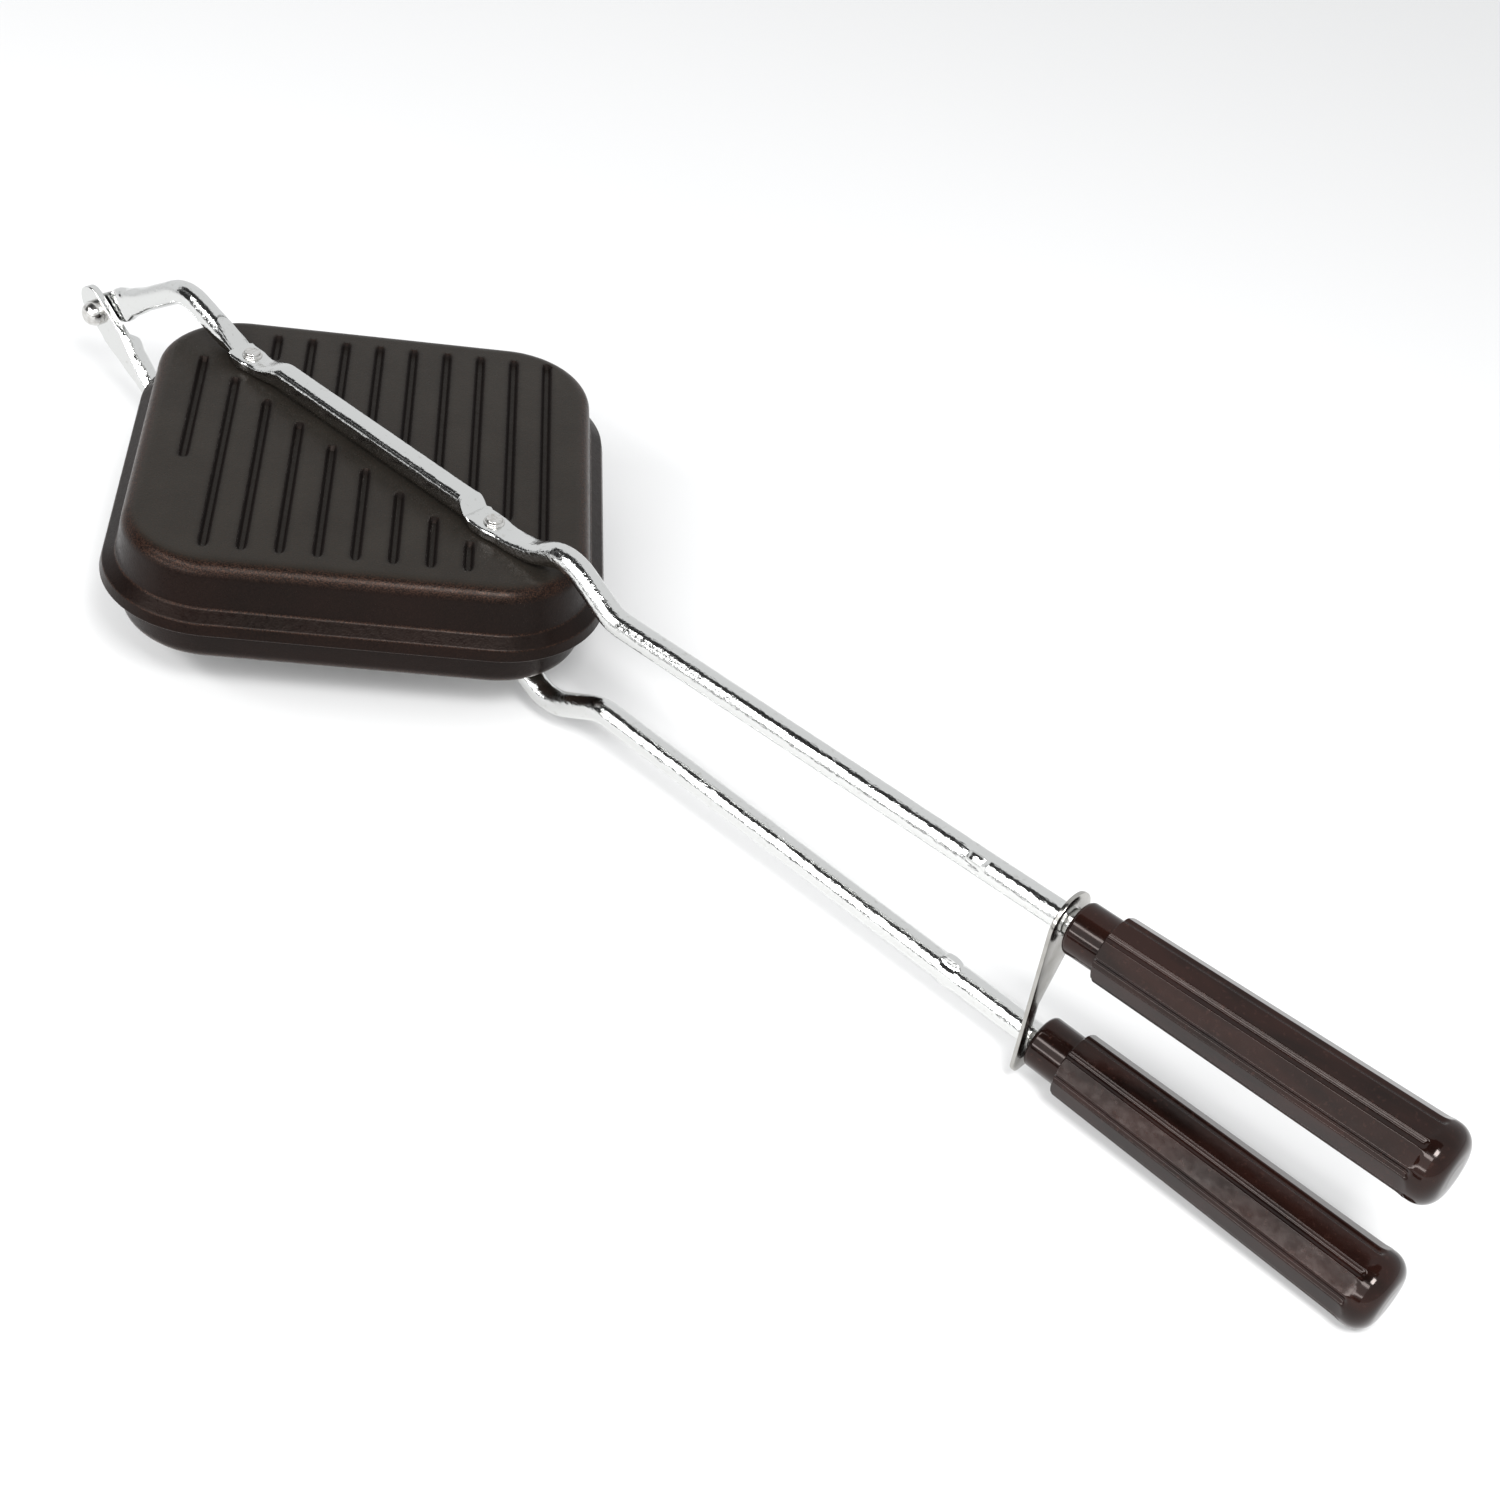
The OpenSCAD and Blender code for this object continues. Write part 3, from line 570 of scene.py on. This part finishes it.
# ---- Tray rivets
# Four solid steel rivets, each through a pad and its tray. The head on the pad is a low
# button pressed flat by the setting tool, and the end inside the tray is set over.

RIVET_X = 44.976
# Heights over the tray's outer face: the pad's top, and the tray's inner face
ON_PAD = 3.2
IN_TRAY = -SHEET_T
SHANK_R = 1.6
FLANGE_R = 2.6
BUTTON_R = 2.1
SET_R = 2.5
RIVET_STEPS = 72


def turned(name, outline, steps, place, finish, crease=32):
    """A closed solid spun from an outline of (radius, height) from axis to axis."""
    bm = bmesh.new()
    verts = [bm.verts.new((r, 0, h)) for r, h in outline]
    edges = [bm.edges.new(pair) for pair in zip(verts, verts[1:])]
    bmesh.ops.spin(bm, geom=verts + edges, axis=(0, 0, 1), cent=(0, 0, 0), angle=2 * pi,
                   steps=steps, use_merge=True)
    bmesh.ops.remove_doubles(bm, verts=bm.verts, dist=0.0005)
    return piece(name, bm, place, finish, crease)


rivet_steel = Finish("worn_rivet_steel", {"Metallic": 1.0})
worn = rivet_steel.within(rivet_steel.noise(1100, 3), 0.4, 0.65)
rivet_steel.vary_sockets({
    "Base Color": rivet_steel.mix(worn, (0.68, 0.675, 0.66, 1), (0.52, 0.505, 0.48, 1)),
    "Roughness": rivet_steel.within(worn, 0, 1, 0.13, 0.26),
    "Normal": rivet_steel.relief(rivet_steel.noise(1600, 2), 0.00003, 0.4)})

# The rivet from its head to its set end, as (radius, height, radius of the corner)
button = rounded((
    (0, ON_PAD + 1.12, 0), (1.2, ON_PAD + 1.16, 0.8), (1.6, ON_PAD + 1.32, 0.3),
    (2.0, ON_PAD + 1.22, 0.25), (BUTTON_R, ON_PAD + 0.5, 0.25), (2.5, ON_PAD + 0.4, 0.2),
    (FLANGE_R, ON_PAD + 0.05, 0.15), (2.4, ON_PAD - 0.02, 0), (SHANK_R, ON_PAD - 0.02, 0),
    (SHANK_R, IN_TRAY + 0.05, 0), (SET_R, IN_TRAY + 0.02, 0.1), (2.3, IN_TRAY - 0.5, 0.4),
    (0.9, IN_TRAY - 0.8, 0.8), (0, IN_TRAY - 0.8, 0)))
for half_name, half in (("upper", UPPER_HALF), ("lower", LOWER_HALF)):
    for end, x in (("front", RIVET_X), ("rear", -RIVET_X)):
        node = f"{half_name}_{end}_rivet"
        rivet = turned(node + "_button", button, RIVET_STEPS,
                       half @ Matrix.Translation((x, 0, TRAY_H)), rivet_steel)
        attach(rivet, half_name)
        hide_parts(node)

# ---- Hinge rivet
# One domed steel rivet through the eyes of both arms. Its head sits on the lower arm's
# eye, and its far end is spread into a lower dome, left loose so that the halves turn.

# Heights along the pin, and radii of its head, shank and spread end
NEAR_EYE = 2.5
FAR_EYE = -2.65
DOME_H = 3.85
DOME_R = 3.45
PIN_R = 2.0
SPREAD_H = 1.6
SPREAD_R = 3.5
DOME_STEPS = 96
dome = rounded((
    (0, NEAR_EYE + DOME_H, 0), (2.4, NEAR_EYE + 3.8, 2.6), (DOME_R, NEAR_EYE + 1.4, 1.6),
    (DOME_R, NEAR_EYE, 0.2), (PIN_R, NEAR_EYE, 0), (PIN_R, FAR_EYE, 0),
    (SPREAD_R, FAR_EYE, 0.15), (3.3, FAR_EYE - 0.9, 0.8), (1.4, FAR_EYE - SPREAD_H, 1.4),
    (0, FAR_EYE - SPREAD_H, 0)), degrees_each=6)
across_eyes = (Matrix.Translation((PIN[0], PIN[1], TRAY_H))
               @ Matrix.Rotation(pi / 2, 4, "X"))
pin_rivet = turned("hinge_rivet_dome", dome, DOME_STEPS, across_eyes, rivet_steel)
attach(pin_rivet, "lower")
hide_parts("hinge_rivet")

# ---- Latch clip
# A flat plate blanked from 1 mm steel and nickel plated. Its eye hangs on the upper rod,
# between the ears and the handle, and its hook swings under the lower rod.

LATCH_AT = (219.183, 17.156)
LATCH_LEAN = radians(0.0834)
LATCH_T = 1.0
EYE_R = 7.0
HOLE_R = 3.5
SHANK_X = -3.4
SHANK_TAPER = 22
SHOULDER = radians(-20)
CORNER_R = 3.0
HOOK_T = 3.9
HOOK_AT = (0.05, -34.3533)
ROD_ROOM = 3.45
HOOK_REACH = 4.4
# The plate's back edge has a vertex at these heights, and its sheared edges this bevel
BACK_EDGE = (-12, -24)
BURR = 0.16


def arc(centre, radius, start, end, steps):
    """Points along a round from one angle to another, in degrees."""
    turns = [radians(start + (end - start) * i / steps) for i in range(steps + 1)]
    return [(centre[0] + radius * cos(a), centre[1] + radius * sin(a)) for a in turns]


foot = HOOK_AT[1] - ROD_ROOM - HOOK_T
tip = (HOOK_AT[0] + HOOK_REACH, foot + HOOK_T / 2)
edge = arc((0, 0), EYE_R, degrees(SHOULDER), 180, 50)
edge += [(-EYE_R, y) for y in BACK_EDGE]
edge += arc((CORNER_R - EYE_R, foot + CORNER_R), CORNER_R, 180, 270, 12)
edge += arc(tip, HOOK_T / 2, -90, 90, 20) + arc(HOOK_AT, ROD_ROOM, -90, -180, 16)
edge += [(SHANK_X, -SHANK_TAPER)]
bm = bmesh.new()
loops = []
for points in (edge, arc((0, 0), HOLE_R, 0, 360, 48)[:-1]):
    corners = [bm.verts.new((x, y, -LATCH_T / 2)) for x, y in points]
    loops += [bm.edges.new(pair) for pair in zip(corners, corners[1:] + corners[:1])]
bmesh.ops.triangle_fill(bm, edges=loops, use_beauty=True)
plate = bmesh.ops.extrude_face_region(bm, geom=list(bm.faces))
bmesh.ops.translate(bm, vec=(0, 0, LATCH_T),
                    verts=[v for v in plate["geom"] if isinstance(v, bmesh.types.BMVert)])
bmesh.ops.recalc_face_normals(bm, faces=bm.faces)
sharp = [e for e in bm.edges if e.calc_face_angle(0) > radians(60)
         and abs(e.verts[0].co.z - e.verts[1].co.z) < 0.01]
bmesh.ops.bevel(bm, geom=sharp, offset=BURR, offset_type="OFFSET", affect="EDGES", segments=2,
                profile=0.5, material=-1)
# The plate is drawn in XY: its X goes to the iron's Y, its Y up, and it leans with the rod
hang = (UPPER_HALF @ Matrix.Translation((LATCH_AT[0], 0, LATCH_AT[1]))
        @ Matrix.Rotation(-SPLAY, 4, "Y")
        @ Matrix(((0, 0, 1, 0), (1, 0, 0, 0), (0, 1, 0, 0), (0, 0, 0, 1)))
        @ Matrix.Rotation(-LATCH_LEAN, 4, "Z"))
nickel = Finish("nickel_plating", {"Metallic": 1.0})
blanked = nickel.noise(1300, 3, (1, 1, 0.12))
nickel.vary_sockets({
    "Base Color": nickel.mix(nickel.within(nickel.noise(240, 3), 0.4, 0.7), (0.41, 0.40, 0.38, 1),
                             (0.33, 0.32, 0.30, 1)),
    "Roughness": nickel.within(blanked, 0.3, 0.7, 0.12, 0.26),
    "Normal": nickel.relief(blanked, 0.00004, 0.4)})
latch = piece("latch_plate", bm, hang, nickel, crease=30)
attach(latch, "latch")
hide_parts("latch_clip")

# ---- Handle inserts
# A turned brass sleeve moulded into each handle and pressed on the end of its rod. It
# stays as the CAD model has it, hidden in the handle, with the marks of the tool.

brass = Finish("turned_brass", {"Metallic": 1.0})
tool_marks = brass.noise(2500, 2, (1, 0.15, 0.15))
brass.vary_sockets({
    "Base Color": brass.mix(brass.within(brass.noise(300, 3), 0.35, 0.7), (0.62, 0.43, 0.19, 1),
                            (0.47, 0.31, 0.13, 1)),
    "Roughness": brass.within(tool_marks, 0.3, 0.7, 0.2, 0.36),
    "Normal": brass.relief(tool_marks, 0.00003, 0.5)})
for node in ("upper_handle_insert", "lower_handle_insert"):
    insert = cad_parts[node]
    insert.data.materials.clear()
    insert.data.materials.append(brass.material)

# ---- Handles
# Moulded phenolic, dark red-brown and glossy: a plain neck, then a body that widens to a
# domed end. Eight flats run along the body, with a flute moulded between each two.

HANDLE_LEN = 90.5
NECK_LEN = 9
NECK_R = 6.25
BODY_R = 8.1
BACK_R = 9.15
END_EDGE_R = 4.6
END_CROWN = 1.0
# The socket for the insert, and the hole for the rod in front of it
SOCKET_R = 4.7
SOCKET_END = 20.5
ROD_HOLE_R = 3.2
# Where the body has a ring of vertices: start, gap and count, along it and at its end
BODY_RINGS = (11, 2.5, 28)
END_RINGS = (79.5, 0.45, 13)
HANDLE_STEPS = 320
FLATS = 8
FLAT_CUT = 0.45
FLUTE_CUT = 0.72
FLUTE_HALF = 1.6
FLUTE_END = 83.5
FLAT_TURN = radians(12.5)
# The flats run out in a curve of this radius, from this far before the flutes' end
FLAT_RUN = 0.8
FLAT_RUN_R = 6
# Nothing inside these limits is on the fluted body
BODY_FROM = NECK_LEN - 0.2
SKIN_R = 6.4
body_end = HANDLE_LEN - END_CROWN - END_EDGE_R
taper = (BACK_R - BODY_R) / (body_end - NECK_LEN)


def grip_radius(z):
    return BODY_R + (z - NECK_LEN) * taper


straight = [(grip_radius(start + gap * i), start + gap * i, 0)
            for start, gap, count in (BODY_RINGS, END_RINGS) for i in range(count)]
profile = rounded(
    [(0, SOCKET_END, 0), (SOCKET_R, SOCKET_END, 0), (SOCKET_R, PLUG_AT, 0),
     (ROD_HOLE_R, PLUG_AT, 0), (ROD_HOLE_R, 0, 0.25), (NECK_R, 0, 1.2),
     (NECK_R, NECK_LEN, 0.5), (BODY_R, NECK_LEN, 0.9)] + straight
    + [(BACK_R + 0.05, HANDLE_LEN - 0.6, END_EDGE_R), (3, HANDLE_LEN - 0.05, 3),
       (0, HANDLE_LEN, 0)], degrees_each=7)
phenolic = Finish("moulded_phenolic", {
    "Specular IOR Level": 0.26, "Specular Tint": (1.0, 0.88, 0.84, 1)})
streak = phenolic.noise(140, 4, (0.3, 1, 1))
dust = phenolic.within(phenolic.noise(900, 2), 0.6, 0.75)
resin = phenolic.mix(phenolic.within(streak, 0.38, 0.62), (0.0042, 0.0020, 0.0016, 1),
                     (0.0115, 0.0042, 0.0031, 1))
phenolic.vary_sockets({
    "Base Color": phenolic.mix(dust * 0.2, resin, (0.05, 0.022, 0.017, 1)),
    "Roughness": phenolic.within(phenolic.noise(420, 3), 0.3, 0.7, 0.07, 0.14),
    "Normal": phenolic.relief(phenolic.noise(260, 2), 0.00012, 0.22)})

for name, half, body in (("upper_handle", UPPER_HALF, "upper"),
                         ("lower_handle", LOWER_HALF, "lower")):
    stand = (half @ Matrix.Translation((GRIP[0], 0, GRIP[1]))
             @ Matrix.Rotation(pi / 2 - SPLAY, 4, "Y"))
    grip = turned(name + "_moulding", profile, HANDLE_STEPS, Matrix.Identity(4), phenolic,
                  crease=55)
    for v in grip.data.vertices:
        x, y, z = v.co / MM
        r = hypot(x, y)
        if z < BODY_FROM or r < SKIN_R:
            continue
        a = atan2(y, x) - FLAT_TURN
        off = (a + pi / FLATS) % (2 * pi / FLATS) - pi / FLATS
        run_out = max(0, z - FLUTE_END + FLAT_RUN) ** 2 / (2 * FLAT_RUN_R)
        flat = (grip_radius(z) - FLAT_CUT + run_out) / cos(off)
        across = grip_radius(z) * sin(pi / FLATS - abs(off))
        beyond = max(0, z - FLUTE_END)
        deep = FLUTE_CUT * (1 - smoothstep(0, FLUTE_HALF, hypot(across, beyond)))
        cut = min(r, flat, grip_radius(z) - deep if deep > 0 else r)
        v.co.x, v.co.y = v.co.x * cut / r, v.co.y * cut / r
    grip.data.transform(Matrix.Scale(MM, 4) @ stand @ Matrix.Scale(1 / MM, 4))
    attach(grip, body)
    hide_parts(name)

# ---- Studio
# A white table under a pale tent of light. A long softbox with bright edges stands to the
# left of the camera with a dark card over it, as the streaks on the rods show.

# The table stands under the lowest point and reaches this far to each side
TABLE = 4000
low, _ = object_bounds()
paper = Finish("white_paper", {"Base Color": (0.63, 0.63, 0.63, 1), "Roughness": 0.9,
                               "Specular IOR Level": 0.1, "Emission Strength": 0.06,
                               "Emission Color": (1, 1, 1, 1)})
bm = bmesh.new()
bmesh.ops.create_grid(bm, x_segments=8, y_segments=8, size=TABLE)
table = piece("table_top", bm, Matrix.Translation((0, 0, low.z / MM)), paper)

world = bpy.data.worlds.new("studio")
world.use_nodes = True
tent = world.node_tree.nodes["Background"].inputs
tent["Color"].default_value = (0.98, 0.99, 1.0, 1)
tent["Strength"].default_value = 0.92
bpy.context.scene.world = world


def light_panel(name, middle, elevation, distance, height, length, radiance):
    """A long lamp along X, seen from the iron at that angle up from +Y, facing it."""
    lamp = bpy.data.lights.new(name, "AREA")
    lamp.shape = "RECTANGLE"
    lamp.size, lamp.size_y = length, height
    lamp.energy = radiance * pi * length * height
    made = bpy.data.objects.new(name, lamp)
    a = radians(elevation)
    made.location = (middle, distance * cos(a), distance * sin(a))
    made.rotation_euler = (a - pi / 2, 0, 0)
    made.visible_camera = False
    bpy.context.scene.collection.objects.link(made)


# Middle along X in metres, elevation in degrees, distance, height and length, radiance
light_panel("softbox", 0.09, 150, 0.9, 0.66, 1.02, 0.95)
light_panel("upper_edge", 0.09, 134, 0.89, 0.12, 1.02, 12.0)
light_panel("lower_edge", 0.09, 166, 0.89, 0.08, 1.02, 12.0)
light_panel("small_lamp", 0.55, 115, 0.84, 0.22, 0.26, 42.0)

card = Finish("black_card", {"Base Color": (0.02, 0.02, 0.02, 1), "Roughness": 0.9})
# Cards that only reflections see, in the same terms but in millimetres
for name, middle, elevation, distance, height, length in (
        ("card_above", -300, 107, 900, 560, 1800), ("card_beside", -830, 150, 900, 800, 800),
        ("card_low", 170, 180, 160, 22, 380)):
    bm = bmesh.new()
    bmesh.ops.create_grid(bm, x_segments=2, y_segments=2, size=0.5)
    bmesh.ops.scale(bm, vec=(length, height, 1), verts=bm.verts)
    a = radians(elevation)
    flag = piece(name, bm, Matrix.Translation((middle, distance * cos(a), distance * sin(a)))
                 @ Matrix.Rotation(a - pi / 2, 4, "X"), card)
    flag.visible_camera = False
    flag.visible_shadow = False
    flag.visible_diffuse = False

# The camera stands where the photograph was taken from
camera = bpy.data.objects.new("camera", bpy.data.cameras.new("camera"))
camera.data.lens = 58.739
camera.data.sensor_width = 36
camera.data.clip_start = 0.01
camera.matrix_world = Matrix((
    (0.734644, -0.516490, 0.439928, 0.37675),
    (0.660733, 0.397432, -0.636773, -0.35520),
    (0.154045, 0.758476, 0.633233, 0.37161),
    (0, 0, 0, 1)))
bpy.context.scene.collection.objects.link(camera)
bpy.context.scene.camera = camera
bpy.context.scene.view_settings.view_transform = "Standard"
